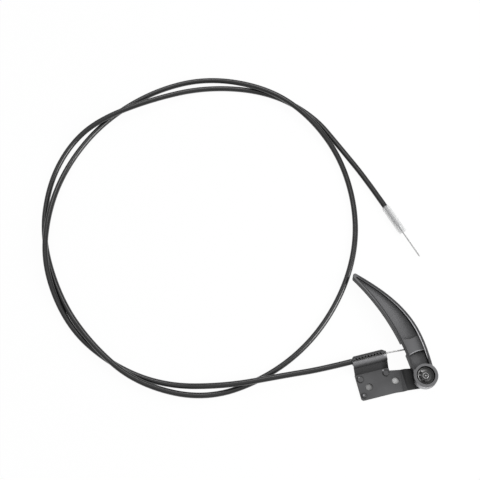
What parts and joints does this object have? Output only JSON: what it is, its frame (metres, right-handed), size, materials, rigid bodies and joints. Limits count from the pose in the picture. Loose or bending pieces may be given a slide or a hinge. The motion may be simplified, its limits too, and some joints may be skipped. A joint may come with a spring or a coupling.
{
  "type": "hood release cable",
  "caption": "Hood release cable: a moulded pull lever on a stamped bracket draws an inner wire through a long looped jacket to a bare wire end for the latch.",
  "frame": {"origin": "on the bracket's back face, midway between the centres of its two mounting holes", "axes": "+X along the hole line towards the lever's pivot, +Y from the holes towards the cable clamp and the lever's tip, +Z out of the back face towards the lever; the part lies on its back face on z = 0"},
  "size_m": [0.3629, 0.3803, 0.0165],
  "materials": {
    "black_steel": "satin",
    "black_moulding": "satin",
    "black_jacket": "satin",
    "zinc_plate": "satin",
    "conduit_steel": "bright",
    "wire_steel": "stranded",
    "clear_sleeve": "translucent",
    "grey_liner": "satin"
  },
  "bodies": {
    "bracket_and_casing": {"bracket": "black_steel", "pivot_rivet": "zinc_plate", "pivot_bush": "zinc_plate", "thrust_washer": "zinc_plate", "spring_washer": "zinc_plate", "lever_conduit": "conduit_steel", "cable_jacket": "black_jacket", "end_sleeve": "clear_sleeve", "latch_liner": "grey_liner"},
    "pull_lever": {"lever": "black_moulding"},
    "inner_wire_lever_end": {"pull_wire": "wire_steel", "cable_nipple": "zinc_plate"},
    "inner_wire_latch_end": {"latch_wire": "wire_steel"}
  },
  "joints": [
    {"name": "lever_pivot", "type": "hinge", "parent": "bracket_and_casing", "child": "pull_lever", "pos_m": [0.0392, -0.0044, 0], "axis": [0, 0, -1], "range_deg": [0, 31]},
    {"name": "pull_wire_slide", "type": "slide", "parent": "bracket_and_casing", "child": "inner_wire_lever_end", "axis": [1, 0, 0], "range_m": [0, 0.0161]},
    {"name": "latch_wire_slide", "type": "slide", "parent": "bracket_and_casing", "child": "inner_wire_latch_end", "axis": [-0.2868, 0.958, 0], "range_m": [0, 0.0161]}
  ],
  "couplings": [
    {"joint": "pull_wire_slide", "follows": "lever_pivot", "m_per_rad": 0.0294},
    {"joint": "latch_wire_slide", "follows": "lever_pivot", "m_per_rad": 0.0294}
  ]
}
